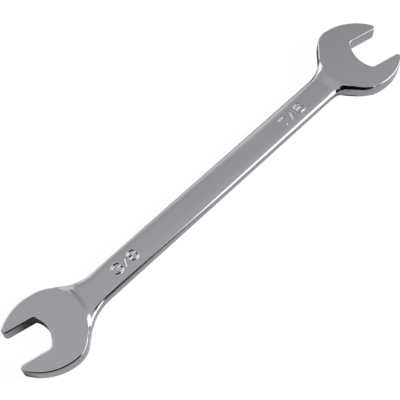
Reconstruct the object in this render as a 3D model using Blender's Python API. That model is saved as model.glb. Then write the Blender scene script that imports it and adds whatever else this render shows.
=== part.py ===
"""Double open end wrench: one drop forging with a small and a large jaw head on a flat shank.

Units are metres, with +Z up. The wrench lies flat, the shank along X, the small head towards -X
and the large head towards +X. The origin is the middle of the wrench's footprint, on the plane
that it rests on.

Each head has its own frame: its datum is where the middle line of the mouth crosses the middle
line of the shank, the mouth opens towards +X and leans to the -Y side, called the lean side. The
other side is the back side. One side of an outline is drawn in a side frame, with the shank
towards +X and the side itself towards +Y, so the same lines serve all four sides.
"""
from math import acos, atan2, ceil, cos, hypot, pi, radians, sin, sqrt

import bmesh
import bpy

MM = 0.001

# The whole forging
HEAD_SPACING = 118.9 * MM
HEAD_THICKNESS = 4.2 * MM
SHANK_THICKNESS = 3.4 * MM
JAW_ANGLE = radians(13.0)
TIP_RADIUS = 1.1 * MM
RIM_ROUNDING = 0.4 * MM

# The shank and its flanks: the sloped sides between the flat face and the trimmed edge
SMALL_END_WIDTH = 8.5 * MM
LARGE_END_WIDTH = 8.6 * MM
FLANK_WIDTH = 1.4 * MM
SHANK_EDGE_HEIGHT = 0.6 * MM
SHANK_FULLNESS = 2.0
NECK_FULLNESS = 1.15
EDGE_TAPER = 1.1
RIM_FADE = 1.2 * MM

# The small head
SMALL_OPENING = 9.6 * MM
SMALL_JAW_RADIUS = 14.35 * MM
SMALL_THROAT_OFFSET = 0.25 * MM
SMALL_THROAT_RADIUS = 7.15 * MM
SMALL_THROAT_CORNER = 1.05 * MM
SMALL_RIM_INSET = 0.45 * MM
SMALL_PLATEAU_RADIUS = SMALL_JAW_RADIUS - SMALL_RIM_INSET
SMALL_PLATEAU_EDGE = 9.8 * MM
SMALL_PLATEAU_SHIFT = 1.3 * MM
SMALL_LEAN_RAMP = 2.6 * MM
SMALL_BACK_RAMP = 0.5 * MM

SMALL_LEAN_JAW_REACH = 1.0 * MM
SMALL_LEAN_JAW_DROP = 3.2 * MM
SMALL_LEAN_HEEL_RADIUS = 6.75 * MM
SMALL_LEAN_HEEL_END = radians(48.6)
SMALL_LEAN_NECK_SLOPE = radians(32.8)
SMALL_LEAN_NECK_RADIUS = 12.9 * MM

SMALL_BACK_JAW_REACH = -0.65 * MM
SMALL_BACK_JAW_DROP = 3.0 * MM
SMALL_BACK_HEEL_RADIUS = 6.9 * MM
SMALL_BACK_HEEL_END = radians(94.4)
SMALL_BACK_NECK_SLOPE = radians(41.8)
SMALL_BACK_NECK_RADIUS = 15.9 * MM

# The large head
LARGE_OPENING = 11.2 * MM
LARGE_JAW_RADIUS = 15.4 * MM
LARGE_THROAT_OFFSET = 1.8 * MM
LARGE_THROAT_RADIUS = 9.3 * MM
LARGE_THROAT_CORNER = 1.2 * MM
LARGE_RIM_INSET = 1.8 * MM
LARGE_PLATEAU_RADIUS = LARGE_JAW_RADIUS - LARGE_RIM_INSET
LARGE_PLATEAU_EDGE = 8.9 * MM
LARGE_PLATEAU_SHIFT = 0.1 * MM
LARGE_LEAN_RAMP = 4.0 * MM
LARGE_BACK_RAMP = 4.0 * MM

LARGE_LEAN_JAW_REACH = 2.65 * MM
LARGE_LEAN_JAW_DROP = 2.8 * MM
LARGE_LEAN_HEEL_RADIUS = 7.0 * MM
LARGE_LEAN_HEEL_END = radians(64.0)
LARGE_LEAN_NECK_SLOPE = radians(50.0)
LARGE_LEAN_NECK_RADIUS = 4.5 * MM

LARGE_BACK_JAW_REACH = 0.65 * MM
LARGE_BACK_JAW_DROP = 2.35 * MM
LARGE_BACK_HEEL_RADIUS = 6.7 * MM
LARGE_BACK_HEEL_END = radians(97.7)
LARGE_BACK_NECK_SLOPE = radians(44.2)
LARGE_BACK_NECK_RADIUS = 11.4 * MM

# How finely the curves are divided
FINE_STEP = radians(1.0)
WIDE_ARC_STEP = radians(4.0)
SMALL_ARC_STEP = radians(12.0)
RIM_SEGMENTS = 3
FLANK_SEGMENTS = 6
FACE_SEGMENTS = 6
NECK_STATIONS = 20
STATION_CROWDING = 1.5
SHANK_STATIONS = 6
LEAST_FADE = 0.02
EDGE_HALVINGS = 24
TOUCHING = 0.00001 * MM
SHARP_ANGLE = radians(30.0)

# The plated steel
STEEL_COLOUR = (0.62, 0.62, 0.64, 1.0)
STEEL_ROUGHNESS = 0.12


class Side:
    """The lengths and angles of one side of a head, in the side frame."""

    def __init__(self, jaw_reach, jaw_drop, heel_radius, heel_end, neck_slope, neck_radius):
        self.jaw_reach = jaw_reach
        self.jaw_drop = jaw_drop
        self.heel_radius = heel_radius
        self.heel_end = heel_end
        self.neck_slope = neck_slope
        self.neck_radius = neck_radius


class Head:
    """One jaw head, in its own frame."""

    def __init__(self, opening, jaw_radius, throat, plateau, neck, lean, back):
        self.opening = opening
        self.jaw_radius = jaw_radius
        self.throat_offset, self.throat_radius, self.throat_corner = throat
        self.plateau_radius, plateau_edge, plateau_shift = plateau
        self.plateau_centre = (self.plateau_radius - plateau_edge, -plateau_shift)
        self.neck_width, lean_ramp, back_ramp = neck
        self.ramps = {-1: lean_ramp, 1: back_ramp}
        self.sides = {-1: lean, 1: back}


SMALL_HEAD = Head(
    SMALL_OPENING,
    SMALL_JAW_RADIUS,
    (SMALL_THROAT_OFFSET, SMALL_THROAT_RADIUS, SMALL_THROAT_CORNER),
    (SMALL_PLATEAU_RADIUS, SMALL_PLATEAU_EDGE, SMALL_PLATEAU_SHIFT),
    (SMALL_END_WIDTH, SMALL_LEAN_RAMP, SMALL_BACK_RAMP),
    Side(SMALL_LEAN_JAW_REACH, SMALL_LEAN_JAW_DROP, SMALL_LEAN_HEEL_RADIUS,
         SMALL_LEAN_HEEL_END, SMALL_LEAN_NECK_SLOPE, SMALL_LEAN_NECK_RADIUS),
    Side(SMALL_BACK_JAW_REACH, SMALL_BACK_JAW_DROP, SMALL_BACK_HEEL_RADIUS,
         SMALL_BACK_HEEL_END, SMALL_BACK_NECK_SLOPE, SMALL_BACK_NECK_RADIUS),
)

LARGE_HEAD = Head(
    LARGE_OPENING,
    LARGE_JAW_RADIUS,
    (LARGE_THROAT_OFFSET, LARGE_THROAT_RADIUS, LARGE_THROAT_CORNER),
    (LARGE_PLATEAU_RADIUS, LARGE_PLATEAU_EDGE, LARGE_PLATEAU_SHIFT),
    (LARGE_END_WIDTH, LARGE_LEAN_RAMP, LARGE_BACK_RAMP),
    Side(LARGE_LEAN_JAW_REACH, LARGE_LEAN_JAW_DROP, LARGE_LEAN_HEEL_RADIUS,
         LARGE_LEAN_HEEL_END, LARGE_LEAN_NECK_SLOPE, LARGE_LEAN_NECK_RADIUS),
    Side(LARGE_BACK_JAW_REACH, LARGE_BACK_JAW_DROP, LARGE_BACK_HEEL_RADIUS,
         LARGE_BACK_HEEL_END, LARGE_BACK_NECK_SLOPE, LARGE_BACK_NECK_RADIUS),
)


def arc(centre, radius, start, end, step, hollow=False):
    """Points of an arc with their outward normals, which face the centre where it is hollow."""
    count = max(2, ceil(abs(end - start) / step))
    turn = -1 if hollow else 1
    points = []
    for k in range(count + 1):
        angle = start + (end - start) * k / count
        along, across = cos(angle), sin(angle)
        place = (centre[0] + radius * along, centre[1] + radius * across)
        points.append((place, (turn * along, turn * across)))
    return points


def neck_curve(head, side, step):
    """The neck fillet and the heel arc of one side, from the shank towards the jaw."""
    lines = head.sides[side]
    half = head.neck_width / 2
    rise = head.jaw_radius - lines.heel_radius
    heel = (rise * cos(lines.heel_end) - lines.jaw_reach, rise * sin(lines.heel_end) - lines.jaw_drop)
    normal = pi / 2 - lines.neck_slope
    top = (heel[0] + lines.heel_radius * cos(normal), heel[1] + lines.heel_radius * sin(normal))
    corner = top[0] + (top[1] - half) * cos(lines.neck_slope) / sin(lines.neck_slope)
    fillet = (corner + lines.neck_radius * sin(lines.neck_slope / 2) / cos(lines.neck_slope / 2),
              half + lines.neck_radius)
    bend = arc(fillet, lines.neck_radius, -pi / 2, -pi / 2 - lines.neck_slope, step, hollow=True)
    return bend + arc(heel, lines.heel_radius, normal, lines.heel_end, step)


def jaw_curve(head, side, step, small_step):
    """One jaw from its heel round the tip and along the flat to the middle of the throat."""
    lines = head.sides[side]
    lean = side * JAW_ANGLE
    mouth = (-cos(lean), -sin(lean))
    flat = (-sin(lean), cos(lean))
    centre = (-lines.jaw_reach, -lines.jaw_drop)

    # The tip circle touches the flat and lies inside the jaw circle
    lift = head.opening / 2 + TIP_RADIUS
    ahead = centre[0] * mouth[0] + centre[1] * mouth[1]
    aside = lift - centre[0] * flat[0] - centre[1] * flat[1]
    reach = ahead + sqrt((head.jaw_radius - TIP_RADIUS) ** 2 - aside ** 2)
    tip = (reach * mouth[0] + lift * flat[0], reach * mouth[1] + lift * flat[1])
    tip_start = atan2(tip[1] - centre[1], tip[0] - centre[0]) % (2 * pi)
    tip_end = 3 * pi / 2 + lean

    # The throat corner touches the flat and the round floor
    floor_reach = head.throat_offset + head.throat_radius
    inner = head.opening / 2 - head.throat_corner
    swing = acos(inner / (head.throat_radius - head.throat_corner))
    corner_reach = floor_reach - (head.throat_radius - head.throat_corner) * sin(swing)
    corner = (corner_reach * mouth[0] + inner * flat[0], corner_reach * mouth[1] + inner * flat[1])
    floor = (floor_reach * mouth[0], floor_reach * mouth[1])

    points = arc(centre, head.jaw_radius, lines.heel_end, tip_start, step)[1:]
    points += arc(tip, TIP_RADIUS, tip_start, tip_end, small_step)[1:]
    points += arc(corner, head.throat_corner, pi / 2 + lean, pi / 2 + lean - swing, small_step, hollow=True)
    points += arc(floor, head.throat_radius, pi / 2 + lean - swing, lean, step, hollow=True)[1:]
    return points


def to_head(side, item):
    """Turns a point or a direction of the side frame into the head's own frame."""
    return (-item[0], side * item[1])


def side_points(head, side, step, small_step):
    """One whole side in the head's frame, from the shank to the middle of the throat."""
    points = neck_curve(head, side, step) + jaw_curve(head, side, step, small_step)
    return [(to_head(side, place), to_head(side, normal)) for place, normal in points]


def between(first, second, share):
    """The point at a share of the way from the first point to the second."""
    return tuple(a + (b - a) * share for a, b in zip(first, second))


class Track:
    """A side's outline from the shank to the rim of the plateau, measured by its length."""

    def __init__(self, head, side, shank_reach):
        points = side_points(head, side, FINE_STEP, FINE_STEP)
        past = [beyond_plateau(head, place) for place, _ in points]
        inside = [k for k, far in enumerate(past) if far <= 0]
        stop = inside[0] if inside else past.index(min(past))
        share = past[stop - 1] / (past[stop - 1] - past[stop]) if inside else 1.0
        last, item = points[stop - 1], points[stop]
        self.end = (between(last[0], item[0], share), between(last[1], item[1], share))
        start = (-shank_reach, side * head.neck_width / 2)
        self.points = [(start, (0, side))] + points[:stop] + [self.end]
        self.lengths = [0.0]
        for last, item in zip(self.points, self.points[1:]):
            self.lengths.append(self.lengths[-1] + hypot(item[0][0] - last[0][0], item[0][1] - last[0][1]))
        self.length = self.lengths[-1]

    def at(self, distance):
        """The place and normal at a distance from the plateau's rim, going towards the shank."""
        wanted = self.length - distance
        for k in range(1, len(self.points)):
            if self.lengths[k] >= wanted:
                span = self.lengths[k] - self.lengths[k - 1]
                share = (wanted - self.lengths[k - 1]) / span if span > 0 else 0.0
                last, item = self.points[k - 1], self.points[k]
                return (between(last[0], item[0], share), between(last[1], item[1], share))
        return self.end

    def depth(self, place):
        """How far a place lies from this outline."""
        return min(
            apart(place, last[0], item[0]) for last, item in zip(self.points, self.points[1:])
        )


def beyond_plateau(head, place):
    """How far a place of a head lies outside its plateau."""
    centre = head.plateau_centre
    return hypot(place[0] - centre[0], place[1] - centre[1]) - head.plateau_radius


def turned(head, place):
    """The angle of a place about the plateau's centre, from the shank's direction."""
    centre = head.plateau_centre
    return atan2(abs(place[1] - centre[1]), centre[0] - place[0])


def apart(place, first, second):
    """The distance between a place and the line from the first point to the second."""
    run = (second[0] - first[0], second[1] - first[1])
    reach = (place[0] - first[0], place[1] - first[1])
    length = run[0] ** 2 + run[1] ** 2
    share = (reach[0] * run[0] + reach[1] * run[1]) / length if length > 0 else 0.0
    share = min(max(share, 0.0), 1.0)
    return hypot(reach[0] - run[0] * share, reach[1] - run[1] * share)


def wall_column(item, height, rounding):
    """The points of a wall at one place of the outline, from its top edge to its bottom edge."""
    (x, y), (nx, ny) = item
    upper = []
    for k in range(RIM_SEGMENTS + 1):
        angle = pi / 2 * k / RIM_SEGMENTS
        inset = rounding * (1 - sin(angle))
        upper.append((x - nx * inset, y - ny * inset, height - rounding * (1 - cos(angle))))
    return upper + [(x, y, -z) for x, y, z in reversed(upper)]


def head_columns(head, sides, tracks):
    """The wall columns of a head, from the plateau's rim on one side round the mouth to the other."""
    columns = []
    for side in sides:
        points = side_points(head, side, WIDE_ARC_STEP, SMALL_ARC_STEP)
        start = turned(head, tracks[side].end[0]) + FINE_STEP
        past = [turned(head, place) > start for place, _ in points]
        kept = [tracks[side].end] + points[past.index(True):]
        columns.append([wall_column(item, HEAD_THICKNESS / 2, RIM_ROUNDING) for item in kept])
    return columns[0] + columns[1][-2::-1]


def bowed(first, middle, second, share):
    """A point of the arc through three points, where share runs from -1 at the first to 1."""
    centre = between(first, second, 0.5)
    chord = (second[0] - centre[0], second[1] - centre[1])
    sag = (middle[0] - centre[0], middle[1] - centre[1])
    bend = 2 * atan2(hypot(*sag), hypot(*chord))
    if bend < FINE_STEP:
        along, across = share, 1 - share ** 2
    else:
        along = sin(share * bend) / sin(bend)
        across = (cos(share * bend) - cos(bend)) / (1 - cos(bend))
    return (centre[0] + chord[0] * along + sag[0] * across, centre[1] + chord[1] * along + sag[1] * across)


def flank_fall(share, fullness):
    """How much of the flank's height is left at a share of its width, from its inner edge."""
    return (1 - share ** fullness) ** (1 / fullness)


def ease(share):
    """A smooth step from 0 to 1."""
    share = min(max(share, 0.0), 1.0)
    return share * share * (3 - 2 * share)


def ring_places(edges, fullness):
    """Places across a ring, from -1 to 1, where the edges are the places of the face's two sides."""
    shares = [sin(pi / 2 * (1 - k / FLANK_SEGMENTS)) ** (2 / fullness) for k in range(FLANK_SEGMENTS)]
    first = [edges[0] + (-1 - edges[0]) * share for share in shares]
    face = [edges[0] + (edges[1] - edges[0]) * k / FACE_SEGMENTS for k in range(FACE_SEGMENTS + 1)]
    second = [edges[1] + (1 - edges[1]) * share for share in reversed(shares)]
    return first + face + second


def face_edge(track, corners, middle, end):
    """The place on a ring, towards one end, where the flat face meets the flank."""
    low, high = 0.0, 1.0
    for _ in range(EDGE_HALVINGS):
        share = (low + high) / 2
        if track.depth(bowed(corners[0], middle, corners[1], end * share)) > FLANK_WIDTH:
            low = share
        else:
            high = share
    return end * low


def neck_height(head, place, depth, ramp, fullness, edge_height):
    """The height of a neck at a place, which lies at a depth inside the outline.

    The plateau runs down to the shank's face over the ramp. Along the outline the flank falls
    from there to the edge. Where the plateau's rim is nearer than the flank's width, the flank
    starts at that rim, so it narrows to nothing where the rim meets the outline.
    """
    beyond = beyond_plateau(head, place)
    if beyond <= TOUCHING:
        return HEAD_THICKNESS / 2
    face = (SHANK_THICKNESS + (HEAD_THICKNESS - SHANK_THICKNESS) * (1 - ease(beyond / ramp))) / 2
    share = max(1 - depth / min(FLANK_WIDTH, beyond + depth), 0.0)
    return edge_height + (face - edge_height) * flank_fall(share, fullness)


def neck_ring(head, sides, tracks, ends, middle, fullness, edge_height):
    """A closed ring of points round a neck, along an arc from side to side.

    Close to the plateau the edges take on the rounding of its rim, so the ring on the rim
    starts and ends with a wall column of the head.
    """
    corners = []
    roundings = []
    for place, normal in ends:
        fade = 1 - ease(beyond_plateau(head, place) / RIM_FADE)
        rounding = RIM_ROUNDING * fade if fade > LEAST_FADE else 0.0
        roundings.append(rounding)
        corners.append((place[0] - normal[0] * rounding, place[1] - normal[1] * rounding))
    edges = [face_edge(tracks[side], corners, middle, end) for side, end in zip(sides, (-1, 1))]
    top = []
    for place in ring_places(edges, fullness)[1:-1]:
        x, y = bowed(corners[0], middle, corners[1], place)
        ramp = head.ramps[sides[0]] + (head.ramps[sides[1]] - head.ramps[sides[0]]) * (place + 1) / 2
        depth = min(tracks[side].depth((x, y)) for side in sides)
        top.append((x, y, neck_height(head, (x, y), depth, ramp, fullness, edge_height)))
    walls = []
    for side, item, corner, rounding in zip(sides, ends, corners, roundings):
        height = neck_height(head, corner, rounding, head.ramps[side], fullness, edge_height)
        walls.append(wall_column(item, height, rounding))
    bottom = [(x, y, -z) for x, y, z in reversed(top)]
    return [walls[0][0]] + top + walls[1] + bottom + walls[0][:0:-1]


def neck_rings(head, sides, tracks, shank_reach):
    """The rings of one neck, from the plateau's rim to the shank."""
    centre = head.plateau_centre
    angles = []
    for side in sides:
        x, y = tracks[side].end[0]
        angles.append(atan2(y - centre[1], centre[0] - x))
    turn = sum(angles) / 2
    rim_middle = (centre[0] - head.plateau_radius * cos(turn), centre[1] + head.plateau_radius * sin(turn))
    shank_middle = (-shank_reach, 0.0)
    wall_height = HEAD_THICKNESS / 2 - RIM_ROUNDING

    rings = []
    for k in range(NECK_STATIONS + 1):
        share = (k / NECK_STATIONS) ** STATION_CROWDING
        fullness = NECK_FULLNESS + (SHANK_FULLNESS - NECK_FULLNESS) * ease(share)
        middle = between(rim_middle, shank_middle, share)
        ends = [tracks[side].at(tracks[side].length * share) for side in sides]
        edge_height = SHANK_EDGE_HEIGHT / 2 + (wall_height - SHANK_EDGE_HEIGHT / 2) * (1 - share) ** EDGE_TAPER
        rings.append(neck_ring(head, sides, tracks, ends, middle, fullness, edge_height))
    return rings


def head_parts(head, sides):
    """The wall columns and the neck rings of a head, in its own frame."""
    shank_reach = max(-side_points(head, side, FINE_STEP, FINE_STEP)[0][0][0] for side in sides)
    tracks = {side: Track(head, side, shank_reach) for side in sides}
    return head_columns(head, sides, tracks), neck_rings(head, sides, tracks, shank_reach)


def placed(point, turn, shift):
    """A point of a head's frame in the wrench's frame: turn is -1 for the small head."""
    return (turn * point[0] + shift, turn * point[1], point[2])


class Builder:
    """Collects the forging's vertices once each and its faces."""

    def __init__(self):
        self.mesh = bmesh.new()
        self.known = {}

    def vertex(self, point):
        if point not in self.known:
            self.known[point] = self.mesh.verts.new(point)
        return self.known[point]

    def face(self, points):
        corners = []
        for point in points:
            corner = self.vertex(point)
            if corner not in corners:
                corners.append(corner)
        if len(corners) > 2:
            self.mesh.faces.new(corners)

    def skin(self, rows, closed):
        """Joins neighbouring rows of points with four-sided faces."""
        count = len(rows[0])
        for upper, lower in zip(rows, rows[1:]):
            for k in range(count if closed else count - 1):
                after = (k + 1) % count
                self.face([upper[k], upper[after], lower[after], lower[k]])


def shank_rings(start, end):
    """Rings between the two necks, which differ only in their width."""
    rings = []
    for k in range(1, SHANK_STATIONS):
        rings.append([between(a, b, k / SHANK_STATIONS) for a, b in zip(start, end)])
    return rings


def build_forging():
    """The mesh of the whole wrench, standing on the plane z = 0."""
    builder = Builder()
    necks = []
    for head, turn, sides in ((SMALL_HEAD, -1, (-1, 1)), (LARGE_HEAD, 1, (1, -1))):
        columns, rings = head_parts(head, sides)
        shift = turn * HEAD_SPACING / 2
        columns = [[placed(point, turn, shift) for point in column] for column in columns]
        rings = [[placed(point, turn, shift) for point in ring] for ring in rings]
        builder.skin(columns, closed=False)
        inner = len(ring_places((-1, 1), 1.0)) - 2
        under = inner + 2 * RIM_SEGMENTS + 3
        builder.face([column[0] for column in columns] + rings[0][1:inner + 1][::-1])
        builder.face([column[-1] for column in columns] + rings[0][under:under + inner])
        necks.append(rings)
    small, large = necks
    builder.skin(small + shank_rings(small[-1], large[-1]) + large[::-1], closed=True)

    mesh = builder.mesh
    bmesh.ops.recalc_face_normals(mesh, faces=mesh.faces)
    lows = [min(vertex.co[axis] for vertex in mesh.verts) for axis in range(3)]
    highs = [max(vertex.co[axis] for vertex in mesh.verts) for axis in range(3)]
    shift = (-(lows[0] + highs[0]) / 2, -(lows[1] + highs[1]) / 2, -lows[2])
    bmesh.ops.translate(mesh, verts=mesh.verts, vec=shift)
    return mesh


def plated_steel():
    """Polished, chrome plated tool steel."""
    material = bpy.data.materials.new("plated_steel")
    material.use_nodes = True
    shader = material.node_tree.nodes["Principled BSDF"]
    shader.inputs["Base Color"].default_value = STEEL_COLOUR
    shader.inputs["Metallic"].default_value = 1.0
    shader.inputs["Roughness"].default_value = STEEL_ROUGHNESS
    return material


def main():
    """Clears the scene and adds the wrench."""
    for item in list(bpy.data.objects):
        bpy.data.objects.remove(item, do_unlink=True)
    data = bpy.data.meshes.new("wrench_forging")
    mesh = build_forging()
    mesh.to_mesh(data)
    mesh.free()
    data.materials.append(plated_steel())
    data.shade_smooth()
    data.set_sharp_from_angle(angle=SHARP_ANGLE)
    wrench = bpy.data.objects.new("wrench_forging", data)
    bpy.context.scene.collection.objects.link(wrench)


main()
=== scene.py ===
"""Looks of the double open end wrench: the forging, its size marks, the studio and the camera.

Everything is in metres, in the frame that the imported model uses. The forging is built again by
the same lines as the solid, with finer curves, and the size marks are cut into its shank.
"""
from math import acos, atan2, ceil, cos, hypot, pi, radians, sin, sqrt

import bmesh
import bpy
from mathutils import Matrix, Vector


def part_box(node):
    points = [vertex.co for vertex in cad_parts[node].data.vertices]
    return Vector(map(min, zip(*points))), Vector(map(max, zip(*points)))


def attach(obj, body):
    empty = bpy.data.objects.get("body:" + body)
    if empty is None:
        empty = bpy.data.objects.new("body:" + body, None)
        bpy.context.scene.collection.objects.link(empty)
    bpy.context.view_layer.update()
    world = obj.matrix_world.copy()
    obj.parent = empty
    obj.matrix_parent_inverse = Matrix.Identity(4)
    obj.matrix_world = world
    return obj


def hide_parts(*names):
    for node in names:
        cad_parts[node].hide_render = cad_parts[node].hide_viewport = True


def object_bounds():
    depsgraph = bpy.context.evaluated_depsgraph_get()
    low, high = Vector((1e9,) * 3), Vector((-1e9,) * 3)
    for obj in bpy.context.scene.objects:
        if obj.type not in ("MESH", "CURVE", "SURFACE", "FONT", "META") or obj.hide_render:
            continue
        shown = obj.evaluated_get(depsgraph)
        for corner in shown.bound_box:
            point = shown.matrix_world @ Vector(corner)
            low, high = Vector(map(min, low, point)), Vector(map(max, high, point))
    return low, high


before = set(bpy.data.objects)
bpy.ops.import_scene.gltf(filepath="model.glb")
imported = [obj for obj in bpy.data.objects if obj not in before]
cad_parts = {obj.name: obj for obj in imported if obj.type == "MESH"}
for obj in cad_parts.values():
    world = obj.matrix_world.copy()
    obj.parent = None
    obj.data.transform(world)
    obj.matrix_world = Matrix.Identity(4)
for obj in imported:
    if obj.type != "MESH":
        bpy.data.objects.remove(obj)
CAD_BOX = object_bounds()

MM = 0.001

# The whole forging
HEAD_SPACING = 118.9 * MM
HEAD_THICKNESS = 4.2 * MM
SHANK_THICKNESS = 3.4 * MM
JAW_ANGLE = radians(13.0)
TIP_RADIUS = 1.1 * MM
RIM_ROUNDING = 0.4 * MM

# The shank and its flanks: the sloped sides between the face and the trimmed edge. Polishing
# leaves them narrower than the solid has them, over a higher edge, and wears the face down
# beside them. A fullness of 1 is a straight facet and more is a rounder one. The taper says how
# fast a neck's edge grows lower away from its head, the fade how soon the head's rounded rim
# dies out there, and the crown's power how closely the wear keeps to the edges.
SMALL_END_WIDTH = 8.5 * MM
LARGE_END_WIDTH = 8.6 * MM
NECK_FLANK_WIDTH = 1.4 * MM
SMALL_END_FLANK = 0.6 * MM
SMALL_END_FULLNESS = 2.0
LARGE_END_FLANK = 0.75 * MM
LARGE_END_FULLNESS = 1.3
SHANK_EDGE_HEIGHT = 1.3 * MM
NECK_FULLNESS = 1.0
EDGE_TAPER = 1.1
RIM_FADE = 0.4 * MM
FACE_CROWN = 0.2 * MM
CROWN_POWER = 5

# The small head
SMALL_OPENING = 9.6 * MM
SMALL_JAW_RADIUS = 14.35 * MM
SMALL_THROAT_OFFSET = 0.25 * MM
SMALL_THROAT_RADIUS = 7.15 * MM
SMALL_THROAT_CORNER = 1.05 * MM
SMALL_RIM_INSET = 0.45 * MM
SMALL_PLATEAU_RADIUS = SMALL_JAW_RADIUS - SMALL_RIM_INSET
SMALL_PLATEAU_EDGE = 9.8 * MM
SMALL_PLATEAU_SHIFT = 1.3 * MM
SMALL_LEAN_RAMP = 2.6 * MM
SMALL_BACK_RAMP = 0.5 * MM

SMALL_LEAN_JAW_REACH = 1.0 * MM
SMALL_LEAN_JAW_DROP = 3.2 * MM
SMALL_LEAN_HEEL_RADIUS = 6.75 * MM
SMALL_LEAN_HEEL_END = radians(48.6)
SMALL_LEAN_NECK_SLOPE = radians(32.8)
SMALL_LEAN_NECK_RADIUS = 12.9 * MM

SMALL_BACK_JAW_REACH = -0.65 * MM
SMALL_BACK_JAW_DROP = 3.0 * MM
SMALL_BACK_HEEL_RADIUS = 6.9 * MM
SMALL_BACK_HEEL_END = radians(94.4)
SMALL_BACK_NECK_SLOPE = radians(41.8)
SMALL_BACK_NECK_RADIUS = 15.9 * MM

# The large head
LARGE_OPENING = 11.2 * MM
LARGE_JAW_RADIUS = 15.4 * MM
LARGE_THROAT_OFFSET = 1.8 * MM
LARGE_THROAT_RADIUS = 9.3 * MM
LARGE_THROAT_CORNER = 1.2 * MM
LARGE_RIM_INSET = 1.8 * MM
LARGE_PLATEAU_RADIUS = LARGE_JAW_RADIUS - LARGE_RIM_INSET
LARGE_PLATEAU_EDGE = 8.9 * MM
LARGE_PLATEAU_SHIFT = 0.2 * MM
LARGE_LEAN_RAMP = 4.0 * MM
LARGE_BACK_RAMP = 4.0 * MM

LARGE_LEAN_JAW_REACH = 2.65 * MM
LARGE_LEAN_JAW_DROP = 2.8 * MM
LARGE_LEAN_HEEL_RADIUS = 7.0 * MM
LARGE_LEAN_HEEL_END = radians(64.0)
LARGE_LEAN_NECK_SLOPE = radians(50.0)
LARGE_LEAN_NECK_RADIUS = 4.5 * MM

LARGE_BACK_JAW_REACH = 0.65 * MM
LARGE_BACK_JAW_DROP = 2.35 * MM
LARGE_BACK_HEEL_RADIUS = 6.7 * MM
LARGE_BACK_HEEL_END = radians(97.7)
LARGE_BACK_NECK_SLOPE = radians(44.2)
LARGE_BACK_NECK_RADIUS = 11.4 * MM

# How finely the curves are divided, and how closely things are found
FINE_STEP = radians(0.5)
WIDE_ARC_STEP = radians(1.5)
SMALL_ARC_STEP = radians(4.0)
RIM_SEGMENTS = 6
FLANK_SEGMENTS = 16
FACE_SEGMENTS = 16
NECK_STATIONS = 90
STATION_CROWDING = 1.5
SHANK_STATIONS = 30
LEAST_FADE = 0.02
EDGE_HALVINGS = 16
TOUCHING = 0.00001 * MM
SHARP_ANGLE = radians(30.0)

# The size marks: strokes pressed into the shank's upper face
MARK_HEIGHT = 2.75 * MM
MARK_GAP = 0.75 * MM
STROKE_RADIUS = 0.5 * MM
STROKE_LIFT = 0.33 * MM
STROKE_STEP = radians(15.0)
STROKE_SEGMENTS = 4
SMALL_MARK_PLACE = (-34.8 * MM, -0.3 * MM)
LARGE_MARK_PLACE = (30.9 * MM, -0.6 * MM)

# The camera, worked out from the photograph: its aim, its place about the aim and its lens
CAMERA_AIM = (-7.067 * MM, -0.577 * MM, 2.1 * MM)
CAMERA_AZIMUTH = radians(-131.93)
CAMERA_HEIGHT_ANGLE = radians(61.03)
CAMERA_ROLL = radians(-3.59)
CAMERA_DISTANCE = 229.2 * MM
CAMERA_LENS = 74.41
CAMERA_SENSOR = 36.0
CLIP_START = 10 * MM

# The chrome
CHROME_DARK = (0.54, 0.533, 0.565, 1.0)
CHROME_LIGHT = (0.58, 0.573, 0.605, 1.0)
LEAST_ROUGHNESS = 0.05
SMUDGE_SCALE = 90.0
SMUDGE_DETAIL = 4.0
SMUDGE_GRAIN = 0.6
SMUDGE_ROUGHNESS = 0.04
BUFFING_STRETCH = (1.0, 12.0, 12.0)
BUFFING_SCALE = 300.0
BUFFING_DETAIL = 3.0
BUFFING_ROUGHNESS = 0.03
BUFFING_DEPTH = 0.0006 * MM
WAVE_SCALE = 110.0
WAVE_DETAIL = 1.0
WAVE_DEPTH = 0.02 * MM

# The tent that the chrome mirrors: grey cloth, whose brightness is a middle value plus a slope
# times the direction, between a least and a most, and on it panels, each with its azimuths and
# its heights in degrees and its brightness. A panel's edge is soft over a range of the sine.
CLOTH_MIDDLE = 0.95
CLOTH_SLOPE = (-0.37, -0.8, 0.0)
CLOTH_LEAST = 0.3
CLOTH_MOST = 0.6
PANELS = (
    ((-71.5, -45.0), (-5.0, 46.0), 2.0),
    ((-45.0, -2.0), (-5.0, 61.0), 2.0),
    ((35.0, 150.0), (-5.0, 20.0), 1.1),
    ((42.0, 70.0), (10.0, 53.5), 0.9),
    ((74.0, 112.0), (15.0, 56.0), 1.7),
    ((-180.0, -71.5), (-5.0, 50.0), 0.03),
)
PANEL_EDGE = 0.04

# The light on matt surfaces: a little from all round, and a low wide window
AMBIENT = 0.05
WINDOW_AZIMUTH = radians(-40.0)
WINDOW_HEIGHT_ANGLE = radians(25.0)
WINDOW_SPREAD = radians(24.0)
WINDOW_STRENGTH = 3.6

# The white floor and the dark card behind the camera
WHITE = (1.0, 1.0, 1.0, 1.0)
UPWARDS = (0.0, 0.0, 1.0)
FLOOR_COLOUR = (0.85, 0.85, 0.85, 1.0)
FLOOR_GLOW = 1.04
FLOOR_GLOW_SHARE = 0.94
FLOOR_RADIUS = 1500 * MM
FLOOR_DROP = 0.05 * MM
CARD_COLOUR = (0.01, 0.01, 0.01, 1.0)
CARD_RADIUS = 134 * MM
CARD_DISTANCE = 240 * MM
DISC_SEGMENTS = 64


class Side:
    """The lengths and angles of one side of a head, in the side frame."""

    def __init__(self, jaw_reach, jaw_drop, heel_radius, heel_end, neck_slope, neck_radius):
        self.jaw_reach = jaw_reach
        self.jaw_drop = jaw_drop
        self.heel_radius = heel_radius
        self.heel_end = heel_end
        self.neck_slope = neck_slope
        self.neck_radius = neck_radius


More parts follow.
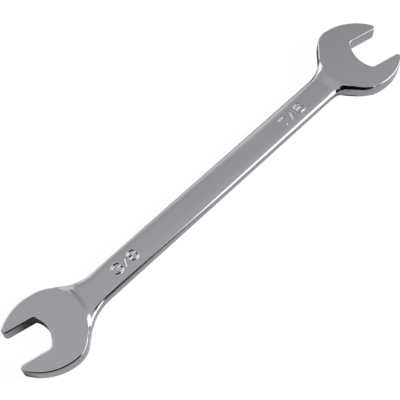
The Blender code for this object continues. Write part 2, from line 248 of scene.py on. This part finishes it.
class Head:
    """One jaw head, in its own frame."""

    def __init__(self, opening, jaw_radius, throat, plateau, neck, lean, back):
        self.opening = opening
        self.jaw_radius = jaw_radius
        self.throat_offset, self.throat_radius, self.throat_corner = throat
        self.plateau_radius, plateau_edge, plateau_shift = plateau
        self.plateau_centre = (self.plateau_radius - plateau_edge, -plateau_shift)
        self.neck_width, self.flank, self.fullness, lean_ramp, back_ramp = neck
        self.ramps = {-1: lean_ramp, 1: back_ramp}
        self.sides = {-1: lean, 1: back}


SMALL_HEAD = Head(
    SMALL_OPENING,
    SMALL_JAW_RADIUS,
    (SMALL_THROAT_OFFSET, SMALL_THROAT_RADIUS, SMALL_THROAT_CORNER),
    (SMALL_PLATEAU_RADIUS, SMALL_PLATEAU_EDGE, SMALL_PLATEAU_SHIFT),
    (SMALL_END_WIDTH, SMALL_END_FLANK, SMALL_END_FULLNESS, SMALL_LEAN_RAMP, SMALL_BACK_RAMP),
    Side(SMALL_LEAN_JAW_REACH, SMALL_LEAN_JAW_DROP, SMALL_LEAN_HEEL_RADIUS,
         SMALL_LEAN_HEEL_END, SMALL_LEAN_NECK_SLOPE, SMALL_LEAN_NECK_RADIUS),
    Side(SMALL_BACK_JAW_REACH, SMALL_BACK_JAW_DROP, SMALL_BACK_HEEL_RADIUS,
         SMALL_BACK_HEEL_END, SMALL_BACK_NECK_SLOPE, SMALL_BACK_NECK_RADIUS),
)

LARGE_HEAD = Head(
    LARGE_OPENING,
    LARGE_JAW_RADIUS,
    (LARGE_THROAT_OFFSET, LARGE_THROAT_RADIUS, LARGE_THROAT_CORNER),
    (LARGE_PLATEAU_RADIUS, LARGE_PLATEAU_EDGE, LARGE_PLATEAU_SHIFT),
    (LARGE_END_WIDTH, LARGE_END_FLANK, LARGE_END_FULLNESS, LARGE_LEAN_RAMP, LARGE_BACK_RAMP),
    Side(LARGE_LEAN_JAW_REACH, LARGE_LEAN_JAW_DROP, LARGE_LEAN_HEEL_RADIUS,
         LARGE_LEAN_HEEL_END, LARGE_LEAN_NECK_SLOPE, LARGE_LEAN_NECK_RADIUS),
    Side(LARGE_BACK_JAW_REACH, LARGE_BACK_JAW_DROP, LARGE_BACK_HEEL_RADIUS,
         LARGE_BACK_HEEL_END, LARGE_BACK_NECK_SLOPE, LARGE_BACK_NECK_RADIUS),
)


def distance_between(first, second):
    """The distance between two points of the plan."""
    return hypot(second[0] - first[0], second[1] - first[1])


def arc(centre, radius, start, end, step, hollow=False):
    """Points of an arc with their outward normals, which face the centre where it is hollow."""
    count = max(2, ceil(abs(end - start) / step))
    turn = -1 if hollow else 1
    points = []
    for k in range(count + 1):
        angle = start + (end - start) * k / count
        along, across = cos(angle), sin(angle)
        place = (centre[0] + radius * along, centre[1] + radius * across)
        points.append((place, (turn * along, turn * across)))
    return points


def neck_curve(head, side, step):
    """The neck fillet and the heel arc of one side, from the shank towards the jaw."""
    lines = head.sides[side]
    half = head.neck_width / 2
    rise = head.jaw_radius - lines.heel_radius
    heel = (rise * cos(lines.heel_end) - lines.jaw_reach,
            rise * sin(lines.heel_end) - lines.jaw_drop)
    normal = pi / 2 - lines.neck_slope
    top = (heel[0] + lines.heel_radius * cos(normal), heel[1] + lines.heel_radius * sin(normal))
    corner = top[0] + (top[1] - half) * cos(lines.neck_slope) / sin(lines.neck_slope)
    fillet = (corner + lines.neck_radius * sin(lines.neck_slope / 2) / cos(lines.neck_slope / 2),
              half + lines.neck_radius)
    bend = arc(fillet, lines.neck_radius, -pi / 2, -pi / 2 - lines.neck_slope, step, hollow=True)
    return bend + arc(heel, lines.heel_radius, normal, lines.heel_end, step)


def jaw_curve(head, side, step, small_step):
    """One jaw from its heel round the tip and along the flat to the middle of the throat."""
    lines = head.sides[side]
    lean = side * JAW_ANGLE
    mouth = (-cos(lean), -sin(lean))
    flat = (-sin(lean), cos(lean))
    centre = (-lines.jaw_reach, -lines.jaw_drop)

    # The tip circle touches the flat and lies inside the jaw circle
    lift = head.opening / 2 + TIP_RADIUS
    ahead = centre[0] * mouth[0] + centre[1] * mouth[1]
    aside = lift - centre[0] * flat[0] - centre[1] * flat[1]
    reach = ahead + sqrt((head.jaw_radius - TIP_RADIUS) ** 2 - aside ** 2)
    tip = (reach * mouth[0] + lift * flat[0], reach * mouth[1] + lift * flat[1])
    tip_start = atan2(tip[1] - centre[1], tip[0] - centre[0]) % (2 * pi)
    tip_end = 3 * pi / 2 + lean

    # The throat corner touches the flat and the round floor
    floor_reach = head.throat_offset + head.throat_radius
    inner = head.opening / 2 - head.throat_corner
    swing = acos(inner / (head.throat_radius - head.throat_corner))
    corner_reach = floor_reach - (head.throat_radius - head.throat_corner) * sin(swing)
    corner = (corner_reach * mouth[0] + inner * flat[0], corner_reach * mouth[1] + inner * flat[1])
    floor = (floor_reach * mouth[0], floor_reach * mouth[1])
    flat_end = pi / 2 + lean
    corner_end = flat_end - swing

    points = arc(centre, head.jaw_radius, lines.heel_end, tip_start, step)[1:]
    points += arc(tip, TIP_RADIUS, tip_start, tip_end, small_step)[1:]
    points += arc(corner, head.throat_corner, flat_end, corner_end, small_step, hollow=True)
    points += arc(floor, head.throat_radius, corner_end, lean, step, hollow=True)[1:]
    return points


def to_head(side, item):
    """Turns a point or a direction of the side frame into the head's own frame."""
    return (-item[0], side * item[1])


def side_points(head, side, step, small_step):
    """One whole side in the head's frame, from the shank to the middle of the throat."""
    points = neck_curve(head, side, step) + jaw_curve(head, side, step, small_step)
    return [(to_head(side, place), to_head(side, normal)) for place, normal in points]


def between(first, second, share):
    """The point at a share of the way from the first point to the second."""
    return tuple(a + (b - a) * share for a, b in zip(first, second))


class Track:
    """A side's outline from the shank to the rim of the plateau, measured by its length."""

    def __init__(self, head, side, shank_reach):
        points = side_points(head, side, FINE_STEP, FINE_STEP)
        past = [beyond_plateau(head, place) for place, _ in points]
        inside = [k for k, far in enumerate(past) if far <= 0]
        stop = inside[0] if inside else past.index(min(past))
        share = past[stop - 1] / (past[stop - 1] - past[stop]) if inside else 1.0
        last, item = points[stop - 1], points[stop]
        self.end = (between(last[0], item[0], share), between(last[1], item[1], share))
        start = (-shank_reach, side * head.neck_width / 2)
        self.points = [(start, (0, side))] + points[:stop] + [self.end]
        self.lengths = [0.0]
        for last, item in zip(self.points, self.points[1:]):
            self.lengths.append(self.lengths[-1] + distance_between(last[0], item[0]))
        self.length = self.lengths[-1]

    def at(self, distance):
        """The place and normal at a distance from the plateau's rim, going towards the shank."""
        wanted = self.length - distance
        for k in range(1, len(self.points)):
            if self.lengths[k] >= wanted:
                span = self.lengths[k] - self.lengths[k - 1]
                share = (wanted - self.lengths[k - 1]) / span if span > 0 else 0.0
                last, item = self.points[k - 1], self.points[k]
                return (between(last[0], item[0], share), between(last[1], item[1], share))
        return self.end

    def depth(self, place):
        """How far a place lies from this outline."""
        return min(
            apart(place, last[0], item[0]) for last, item in zip(self.points, self.points[1:])
        )


def beyond_plateau(head, place):
    """How far a place of a head lies outside its plateau."""
    return distance_between(head.plateau_centre, place) - head.plateau_radius


def turned(head, place):
    """The angle of a place about the plateau's centre, from the shank's direction."""
    centre = head.plateau_centre
    return atan2(abs(place[1] - centre[1]), centre[0] - place[0])


def apart(place, first, second):
    """The distance between a place and the line from the first point to the second."""
    run = (second[0] - first[0], second[1] - first[1])
    reach = (place[0] - first[0], place[1] - first[1])
    length = run[0] ** 2 + run[1] ** 2
    share = (reach[0] * run[0] + reach[1] * run[1]) / length if length > 0 else 0.0
    share = min(max(share, 0.0), 1.0)
    return hypot(reach[0] - run[0] * share, reach[1] - run[1] * share)


def wall_column(item, height, rounding):
    """The points of a wall at one place of the outline, from its top edge to its bottom edge."""
    (x, y), (nx, ny) = item
    upper = []
    for k in range(RIM_SEGMENTS + 1):
        angle = pi / 2 * k / RIM_SEGMENTS
        inset = rounding * (1 - sin(angle))
        upper.append((x - nx * inset, y - ny * inset, height - rounding * (1 - cos(angle))))
    return upper + [(x, y, -z) for x, y, z in reversed(upper)]


def head_columns(head, sides, tracks):
    """The wall columns of a head, from the plateau's rim round the mouth and back to the rim."""
    columns = []
    for side in sides:
        points = side_points(head, side, WIDE_ARC_STEP, SMALL_ARC_STEP)
        start = turned(head, tracks[side].end[0]) + FINE_STEP
        past = [turned(head, place) > start for place, _ in points]
        kept = [tracks[side].end] + points[past.index(True):]
        columns.append([wall_column(item, HEAD_THICKNESS / 2, RIM_ROUNDING) for item in kept])
    return columns[0] + columns[1][-2::-1]


def bowed(first, middle, second, share):
    """A point of the arc through three points, where share runs from -1 at the first to 1."""
    centre = between(first, second, 0.5)
    chord = (second[0] - centre[0], second[1] - centre[1])
    sag = (middle[0] - centre[0], middle[1] - centre[1])
    bend = 2 * atan2(hypot(*sag), hypot(*chord))
    if bend < FINE_STEP:
        along, across = share, 1 - share ** 2
    else:
        along = sin(share * bend) / sin(bend)
        across = (cos(share * bend) - cos(bend)) / (1 - cos(bend))
    x = centre[0] + chord[0] * along + sag[0] * across
    y = centre[1] + chord[1] * along + sag[1] * across
    return (x, y)


def flank_fall(share, fullness):
    """How much of the flank's height is left at a share of its width, from its inner edge."""
    return (1 - share ** fullness) ** (1 / fullness)


def ease(share):
    """A smooth step from 0 to 1."""
    share = min(max(share, 0.0), 1.0)
    return share * share * (3 - 2 * share)


def ring_places(edges, fullness):
    """Places across a ring, from -1 to 1, where the edges are those of the face's two sides."""
    shares = []
    for k in range(FLANK_SEGMENTS):
        shares.append(sin(pi / 2 * (1 - k / FLANK_SEGMENTS)) ** (2 / fullness))
    width = edges[1] - edges[0]
    first = [edges[0] + (-1 - edges[0]) * share for share in shares]
    face = [edges[0] + width * k / FACE_SEGMENTS for k in range(FACE_SEGMENTS + 1)]
    second = [edges[1] + (1 - edges[1]) * share for share in reversed(shares)]
    return first + face + second


def face_edge(track, corners, middle, end, flank):
    """The place on a ring, towards one end, where the flat face meets the flank."""
    low, high = 0.0, 1.0
    for _ in range(EDGE_HALVINGS):
        share = (low + high) / 2
        if track.depth(bowed(corners[0], middle, corners[1], end * share)) > flank:
            low = share
        else:
            high = share
    return end * low


def neck_height(head, place, depth, ramp, section):
    """The height of a neck at a place, which lies at a depth inside the outline.

    The plateau runs down to the shank's face over the ramp, and away from the plateau the face
    is crowned. Along the outline the flank falls from there to the edge. Where the plateau's rim
    is nearer than the flank's width, the flank starts at that rim, so it narrows to nothing
    where the rim meets the outline.
    """
    flank, fullness, edge_height = section
    beyond = beyond_plateau(head, place)
    if beyond <= TOUCHING:
        return HEAD_THICKNESS / 2
    lowered = ease(beyond / ramp)
    off_middle = max(1 - 2 * depth / head.neck_width, 0.0)
    face = (SHANK_THICKNESS + (HEAD_THICKNESS - SHANK_THICKNESS) * (1 - lowered)) / 2
    face -= FACE_CROWN * off_middle ** CROWN_POWER * lowered
    share = max(1 - depth / min(flank, beyond + depth), 0.0)
    return edge_height + (face - edge_height) * flank_fall(share, fullness)


def neck_ring(head, sides, tracks, ends, middle, section):
    """A closed ring of points round a neck, along an arc from side to side.

    The section holds the flank's width and fullness and the height of the edge. Close to the
    plateau the edges take on the rounding of its rim, so that the ring on the rim starts and
    ends with a wall column of the head.
    """
    flank, fullness, _ = section
    corners = []
    roundings = []
    for place, normal in ends:
        fade = 1 - ease(beyond_plateau(head, place) / RIM_FADE)
        rounding = RIM_ROUNDING * fade if fade > LEAST_FADE else 0.0
        roundings.append(rounding)
        corners.append((place[0] - normal[0] * rounding, place[1] - normal[1] * rounding))
    edges = []
    for side, end in zip(sides, (-1, 1)):
        edges.append(face_edge(tracks[side], corners, middle, end, flank))
    first_ramp, second_ramp = (head.ramps[side] for side in sides)
    top = []
    for place in ring_places(edges, fullness)[1:-1]:
        x, y = bowed(corners[0], middle, corners[1], place)
        ramp = first_ramp + (second_ramp - first_ramp) * (place + 1) / 2
        depth = min(tracks[side].depth((x, y)) for side in sides)
        top.append((x, y, neck_height(head, (x, y), depth, ramp, section)))
    walls = []
    for side, item, corner, rounding in zip(sides, ends, corners, roundings):
        height = neck_height(head, corner, rounding, head.ramps[side], section)
        walls.append(wall_column(item, height, rounding))
    bottom = [(x, y, -z) for x, y, z in reversed(top)]
    return [walls[0][0]] + top + walls[1] + bottom + walls[0][:0:-1]


def neck_rings(head, sides, tracks, shank_reach):
    """The rings of one neck, from the plateau's rim to the shank."""
    centre = head.plateau_centre
    radius = head.plateau_radius
    angles = []
    for side in sides:
        x, y = tracks[side].end[0]
        angles.append(atan2(y - centre[1], centre[0] - x))
    turn = sum(angles) / 2
    rim_middle = (centre[0] - radius * cos(turn), centre[1] + radius * sin(turn))
    shank_middle = (-shank_reach, 0.0)
    wall_height = HEAD_THICKNESS / 2 - RIM_ROUNDING
    shank_edge = SHANK_EDGE_HEIGHT / 2

    rings = []
    for k in range(NECK_STATIONS + 1):
        share = (k / NECK_STATIONS) ** STATION_CROWDING
        flank = NECK_FLANK_WIDTH + (head.flank - NECK_FLANK_WIDTH) * ease(share)
        fullness = NECK_FULLNESS + (head.fullness - NECK_FULLNESS) * ease(share)
        middle = between(rim_middle, shank_middle, share)
        ends = [tracks[side].at(tracks[side].length * share) for side in sides]
        edge_height = shank_edge + (wall_height - shank_edge) * (1 - share) ** EDGE_TAPER
        rings.append(neck_ring(head, sides, tracks, ends, middle, (flank, fullness, edge_height)))
    return rings


def head_parts(head, sides):
    """The wall columns and the neck rings of a head, in its own frame."""
    shank_reach = max(-side_points(head, side, FINE_STEP, FINE_STEP)[0][0][0] for side in sides)
    tracks = {side: Track(head, side, shank_reach) for side in sides}
    return head_columns(head, sides, tracks), neck_rings(head, sides, tracks, shank_reach)


def placed(point, turn, shift):
    """A point of a head's frame in the wrench's frame: turn is -1 for the small head."""
    return (turn * point[0] + shift, turn * point[1], point[2])


class Builder:
    """Collects the forging's vertices, each of them once, and its faces."""

    def __init__(self):
        self.mesh = bmesh.new()
        self.known = {}

    def vertex(self, point):
        if point not in self.known:
            self.known[point] = self.mesh.verts.new(point)
        return self.known[point]

    def face(self, points):
        corners = []
        for point in points:
            corner = self.vertex(point)
            if corner not in corners:
                corners.append(corner)
        if len(corners) > 2:
            self.mesh.faces.new(corners)

    def skin(self, rows, closed):
        """Joins neighbouring rows of points with four-sided faces."""
        count = len(rows[0])
        for upper, lower in zip(rows, rows[1:]):
            for k in range(count if closed else count - 1):
                after = (k + 1) % count
                self.face([upper[k], upper[after], lower[after], lower[k]])


def shank_rings(start, end):
    """Rings between the two necks, which differ only in their width."""
    rings = []
    for k in range(1, SHANK_STATIONS):
        rings.append([between(a, b, k / SHANK_STATIONS) for a, b in zip(start, end)])
    return rings


def build_forging():
    """The mesh of the whole wrench, with its box centred on the solid's box.

    A ring has an upper corner, the inner points of its top, one side's wall column, the inner
    points of its underside and the rest of the other side's column.
    """
    builder = Builder()
    inner = len(ring_places((-1, 1), 1.0)) - 2
    under = 1 + inner + 2 * (RIM_SEGMENTS + 1)
    necks = []
    for head, turn, sides in ((SMALL_HEAD, -1, (-1, 1)), (LARGE_HEAD, 1, (1, -1))):
        columns, rings = head_parts(head, sides)
        shift = turn * HEAD_SPACING / 2
        columns = [[placed(point, turn, shift) for point in column] for column in columns]
        rings = [[placed(point, turn, shift) for point in ring] for ring in rings]
        builder.skin(columns, closed=False)
        builder.face([column[0] for column in columns] + rings[0][1:inner + 1][::-1])
        builder.face([column[-1] for column in columns] + rings[0][under:under + inner])
        necks.append(rings)
    small, large = necks
    builder.skin(small + shank_rings(small[-1], large[-1]) + large[::-1], closed=True)

    mesh = builder.mesh
    bmesh.ops.recalc_face_normals(mesh, faces=mesh.faces)
    low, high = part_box("wrench_forging")
    shift = []
    for axis in range(3):
        places = [vertex.co[axis] for vertex in mesh.verts]
        shift.append((low[axis] + high[axis] - min(places) - max(places)) / 2)
    bmesh.ops.translate(mesh, verts=mesh.verts, vec=shift)
    return mesh


def bow(centre, reach, start, end):
    """Points of an ellipse's arc, in shares of a mark's height, with angles in degrees."""
    count = max(2, ceil(abs(radians(end - start)) / STROKE_STEP))
    points = []
    for k in range(count + 1):
        angle = radians(start + (end - start) * k / count)
        points.append((centre[0] + reach[0] * cos(angle), centre[1] + reach[1] * sin(angle)))
    return points


# Each figure's width and strokes, in shares of its height
FIGURE_SHARES = {
    "1": (0.1, [[(0.05, 0.0), (0.05, 1.0)]]),
    "3": (0.95, [
        bow((0.45, 0.75), (0.45, 0.25), 165, -90) + bow((0.45, 0.25), (0.5, 0.25), 90, -165)[1:],
    ]),
    "6": (0.95, [
        bow((0.3, 0.7), (0.3, 0.3), 90, 180) + [(0.0, 0.3)]
        + bow((0.3, 0.3), (0.3, 0.3), 180, 270)[1:]
        + bow((0.65, 0.28), (0.3, 0.28), -90, 90) + [(0.05, 0.56)],
        [(0.3, 1.0), (0.75, 1.0), (0.92, 0.9)],
    ]),
    "7": (0.9, [[(0.0, 0.95), (0.72, 0.95), (0.88, 0.75), (0.3, 0.0)]]),
    "8": (0.95, [
        bow((0.475, 0.76), (0.42, 0.24), 0, 360),
        bow((0.475, 0.26), (0.475, 0.26), 0, 360),
    ]),
    "/": (0.48, [[(0.0, 0.05), (0.48, 0.95)]]),
}


def mark_strokes(figures, place):
    """The strokes of a size mark, centred on a place of the shank's upper face."""
    widths = [FIGURE_SHARES[figure][0] * MARK_HEIGHT for figure in figures]
    x = place[0] - (sum(widths) + MARK_GAP * (len(widths) - 1)) / 2
    y = place[1] - MARK_HEIGHT / 2
    strokes = []
    for figure, width in zip(figures, widths):
        for shares in FIGURE_SHARES[figure][1]:
            stroke = [(x + across * MARK_HEIGHT, y + up * MARK_HEIGHT) for across, up in shares]
            strokes.append(stroke)
        x += width + MARK_GAP
    return strokes


def mark_cutter(strokes):
    """Round bars along the strokes, partly sunk in the shank's upper face."""
    middle = (CAD_BOX[0][2] + CAD_BOX[1][2]) / 2
    height = middle + SHANK_THICKNESS / 2 + STROKE_LIFT
    curve = bpy.data.curves.new("mark_cutter", "CURVE")
    curve.dimensions = "3D"
    curve.bevel_depth = STROKE_RADIUS
    curve.bevel_resolution = STROKE_SEGMENTS
    curve.use_fill_caps = True
    for stroke in strokes:
        closed = distance_between(stroke[0], stroke[-1]) < TOUCHING
        points = stroke[:-1] if closed else stroke
        spline = curve.splines.new("POLY")
        spline.points.add(len(points) - 1)
        for point, (x, y) in zip(spline.points, points):
            point.co = (x, y, height, 1.0)
        spline.use_cyclic_u = closed
    cutter = bpy.data.objects.new("mark_cutter", curve)
    bpy.context.scene.collection.objects.link(cutter)
    bpy.context.view_layer.update()
    data = bpy.data.meshes.new_from_object(cutter)
    bpy.data.objects.remove(cutter, do_unlink=True)
    bpy.data.curves.remove(curve)
    cutter = bpy.data.objects.new("mark_cutter", data)
    bpy.context.scene.collection.objects.link(cutter)
    return cutter


def add_forging():
    """The finished forging, with its size marks cut in."""
    data = bpy.data.meshes.new("polished_forging")
    mesh = build_forging()
    mesh.to_mesh(data)
    mesh.free()
    forging = bpy.data.objects.new("polished_forging", data)
    bpy.context.scene.collection.objects.link(forging)

    strokes = mark_strokes("3/8", SMALL_MARK_PLACE) + mark_strokes("7/16", LARGE_MARK_PLACE)
    cutter = mark_cutter(strokes)
    cut = forging.modifiers.new("marks", "BOOLEAN")
    cut.operation = "DIFFERENCE"
    cut.solver = "EXACT"
    cut.use_self = True
    cut.object = cutter
    bpy.context.view_layer.update()
    evaluated = forging.evaluated_get(bpy.context.evaluated_depsgraph_get())
    marked = bpy.data.meshes.new_from_object(evaluated)
    forging.modifiers.clear()
    forging.data = marked
    bpy.data.objects.remove(cutter, do_unlink=True)

    marked.shade_smooth()
    marked.set_sharp_from_angle(angle=SHARP_ANGLE)
    weighted = forging.modifiers.new("weighted", "WEIGHTED_NORMAL")
    weighted.keep_sharp = True
    marked.materials.clear()
    marked.materials.append(polished_chrome())
    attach(forging, "root")
    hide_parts("wrench_forging")
    return forging


class Value:
    """A socket of a node tree, which adds nodes when it is used in a sum or a product."""

    def __init__(self, tree, socket):
        self.tree = tree
        self.socket = socket

    def node(self, kind, inputs, output=0, **settings):
        """Adds a node, sets its inputs by number or name, and gives one of its outputs."""
        node = self.tree.nodes.new(kind)
        for name, setting in settings.items():
            setattr(node, name, setting)
        for key, value in inputs.items():
            if isinstance(value, Value):
                self.tree.links.new(value.socket, node.inputs[key])
            else:
                node.inputs[key].default_value = value
        return Value(self.tree, node.outputs[output])

    def maths(self, operation, first, second=0.0):
        return self.node("ShaderNodeMath", {0: first, 1: second}, operation=operation)

    def __add__(self, other):
        return self.maths("ADD", self, other)

    def __radd__(self, other):
        return self.maths("ADD", other, self)

    def __sub__(self, other):
        return self.maths("SUBTRACT", self, other)

    def __rsub__(self, other):
        return self.maths("SUBTRACT", other, self)

    def __mul__(self, other):
        return self.maths("MULTIPLY", self, other)

    def __rmul__(self, other):
        return self.maths("MULTIPLY", other, self)

    def smooth(self, low, high):
        """A smooth step from 0 at the low value to 1 at the high one."""
        return self.node(
            "ShaderNodeMapRange",
            {"Value": self, "From Min": low, "From Max": high, "To Min": 0.0, "To Max": 1.0},
            interpolation_type="SMOOTHSTEP",
        )

    def towards(self, other, share):
        """This value, moved by a share towards another one."""
        return self * (1.0 - share) + other * share


def polished_chrome():
    """Bright chrome over a buffed forging: faint waves, fine buffing lines and small smudges."""
    material = bpy.data.materials.new("polished_chrome")
    material.use_nodes = True
    tree = material.node_tree
    shader = tree.nodes["Principled BSDF"]
    base = Value(tree, None)
    place = base.node("ShaderNodeTexCoord", {}, output="Object")
    smudges = base.node(
        "ShaderNodeTexNoise",
        {
            "Vector": place,
            "Scale": SMUDGE_SCALE,
            "Detail": SMUDGE_DETAIL,
            "Roughness": SMUDGE_GRAIN,
        },
    )
    stretched = base.node("ShaderNodeMapping", {"Vector": place, "Scale": BUFFING_STRETCH})
    buffing = base.node(
        "ShaderNodeTexNoise",
        {"Vector": stretched, "Scale": BUFFING_SCALE, "Detail": BUFFING_DETAIL},
    )
    waves = base.node(
        "ShaderNodeTexNoise",
        {"Vector": place, "Scale": WAVE_SCALE, "Detail": WAVE_DETAIL},
    )
    roughness = smudges * SMUDGE_ROUGHNESS + buffing * BUFFING_ROUGHNESS + LEAST_ROUGHNESS
    tree.links.new(roughness.socket, shader.inputs["Roughness"])
    tint = base.node(
        "ShaderNodeMix",
        {"Factor": smudges, 6: CHROME_DARK, 7: CHROME_LIGHT},
        output=2,
        data_type="RGBA",
    )
    tree.links.new(tint.socket, shader.inputs["Base Color"])
    waved = base.node("ShaderNodeBump", {"Height": waves, "Strength": 1.0, "Distance": WAVE_DEPTH})
    brushed = base.node(
        "ShaderNodeBump",
        {"Height": buffing, "Strength": 1.0, "Distance": BUFFING_DEPTH, "Normal": waved},
    )
    tree.links.new(brushed.socket, shader.inputs["Normal"])
    shader.inputs["Metallic"].default_value = 1.0
    return material


def on_camera_line(distance):
    """The place and turn of a thing that faces the camera's aim from a distance."""
    back = Vector((
        cos(CAMERA_HEIGHT_ANGLE) * cos(CAMERA_AZIMUTH),
        cos(CAMERA_HEIGHT_ANGLE) * sin(CAMERA_AZIMUTH),
        sin(CAMERA_HEIGHT_ANGLE),
    ))
    level = (-back).cross(Vector(UPWARDS)).normalized()
    upright = level.cross(-back)
    right = level * cos(CAMERA_ROLL) + upright * sin(CAMERA_ROLL)
    up = upright * cos(CAMERA_ROLL) - level * sin(CAMERA_ROLL)
    turn = Matrix((right, up, back)).transposed().to_4x4()
    return Matrix.Translation(Vector(CAMERA_AIM) + back * distance) @ turn


def add_camera():
    """The photograph's camera."""
    data = bpy.data.cameras.new("camera")
    data.lens = CAMERA_LENS
    data.sensor_width = CAMERA_SENSOR
    data.sensor_fit = "HORIZONTAL"
    data.clip_start = CLIP_START
    camera = bpy.data.objects.new("camera", data)
    camera.matrix_world = on_camera_line(CAMERA_DISTANCE)
    bpy.context.scene.collection.objects.link(camera)
    bpy.context.scene.camera = camera


def facing(direction, towards):
    """How squarely a direction faces another one, from -1 to 1."""
    return direction.node(
        "ShaderNodeVectorMath", {0: direction, 1: towards}, output="Value", operation="DOT_PRODUCT"
    )


def panel_share(direction, azimuths, heights):
    """How much a panel covers a direction, with soft edges."""
    start, end = (radians(azimuth) for azimuth in azimuths)
    low, high = (sin(radians(height)) for height in heights)
    level = facing(direction, UPWARDS)
    share = facing(direction, (-sin(start), cos(start), 0.0)).smooth(-PANEL_EDGE, PANEL_EDGE)
    share = share * facing(direction, (sin(end), -cos(end), 0.0)).smooth(-PANEL_EDGE, PANEL_EDGE)
    share = share * level.smooth(low - PANEL_EDGE, low + PANEL_EDGE)
    return share * level.smooth(high + PANEL_EDGE, high - PANEL_EDGE)


def add_world():
    """A light tent: white to the camera, and soft panels and grey cloth in the reflections."""
    world = bpy.data.worlds.new("light_tent")
    world.use_nodes = True
    bpy.context.scene.world = world
    tree = world.node_tree
    shader = tree.nodes["Background"]
    base = Value(tree, None)
    direction = base.node("ShaderNodeTexCoord", {}, output="Generated")
    cloth = facing(direction, CLOTH_SLOPE) + CLOTH_MIDDLE
    cloth = cloth.node("ShaderNodeClamp", {0: cloth, 1: CLOTH_LEAST, 2: CLOTH_MOST})
    for azimuths, heights, brightness in PANELS:
        cloth = cloth.towards(brightness, panel_share(direction, azimuths, heights))
    glossy_ray = base.node("ShaderNodeLightPath", {}, output="Is Glossy Ray")
    camera_ray = base.node("ShaderNodeLightPath", {}, output="Is Camera Ray")
    strength = glossy_ray * (cloth - AMBIENT) + AMBIENT
    strength = strength.towards(1.0, camera_ray)
    tree.links.new(strength.socket, shader.inputs["Strength"])
    shader.inputs["Color"].default_value = WHITE


def add_window():
    """The low soft light from the large head's side, which shades the small head's mouth."""
    data = bpy.data.lights.new("window", "SUN")
    data.energy = WINDOW_STRENGTH
    data.angle = WINDOW_SPREAD
    window = bpy.data.objects.new("window", data)
    window.rotation_euler = (pi / 2 - WINDOW_HEIGHT_ANGLE, 0.0, WINDOW_AZIMUTH + pi / 2)
    window.visible_glossy = False
    bpy.context.scene.collection.objects.link(window)


def matt_material(name, colour):
    """A paint without gloss."""
    material = bpy.data.materials.new(name)
    material.use_nodes = True
    shader = material.node_tree.nodes["Principled BSDF"]
    shader.inputs["Base Color"].default_value = colour
    shader.inputs["Roughness"].default_value = 1.0
    shader.inputs["Specular IOR Level"].default_value = 0.0
    return material


def add_disc(name, radius, material):
    """A flat round sheet, facing up."""
    mesh = bmesh.new()
    bmesh.ops.create_circle(mesh, cap_ends=True, segments=DISC_SEGMENTS, radius=radius)
    data = bpy.data.meshes.new(name)
    mesh.to_mesh(data)
    mesh.free()
    data.materials.append(material)
    disc = bpy.data.objects.new(name, data)
    bpy.context.scene.collection.objects.link(disc)
    return disc


def add_floor():
    """A plain white floor, which glows for the camera so that it meets the white background."""
    material = matt_material("floor_paper", FLOOR_COLOUR)
    tree = material.node_tree
    base = Value(tree, None)
    camera_ray = base.node("ShaderNodeLightPath", {}, output="Is Camera Ray")
    glow = base.node("ShaderNodeEmission", {"Color": WHITE, "Strength": FLOOR_GLOW})
    paint = Value(tree, tree.nodes["Principled BSDF"].outputs[0])
    mixed = base.node("ShaderNodeMixShader", {0: camera_ray * FLOOR_GLOW_SHARE, 1: paint, 2: glow})
    tree.links.new(mixed.socket, tree.nodes["Material Output"].inputs["Surface"])
    floor = add_disc("floor", FLOOR_RADIUS, material)
    floor.location.z = CAD_BOX[0][2] - FLOOR_DROP


def add_lens_card():
    """The dark card behind the camera, which the polished flanks mirror as black lines."""
    card = add_disc("lens_card", CARD_RADIUS, matt_material("card_black", CARD_COLOUR))
    card.matrix_world = on_camera_line(CARD_DISTANCE)
    card.visible_camera = False
    card.visible_shadow = False
    card.visible_diffuse = False


def main():
    bpy.context.scene.view_settings.view_transform = "Standard"
    add_forging()
    add_world()
    add_window()
    add_floor()
    add_lens_card()
    add_camera()


main()
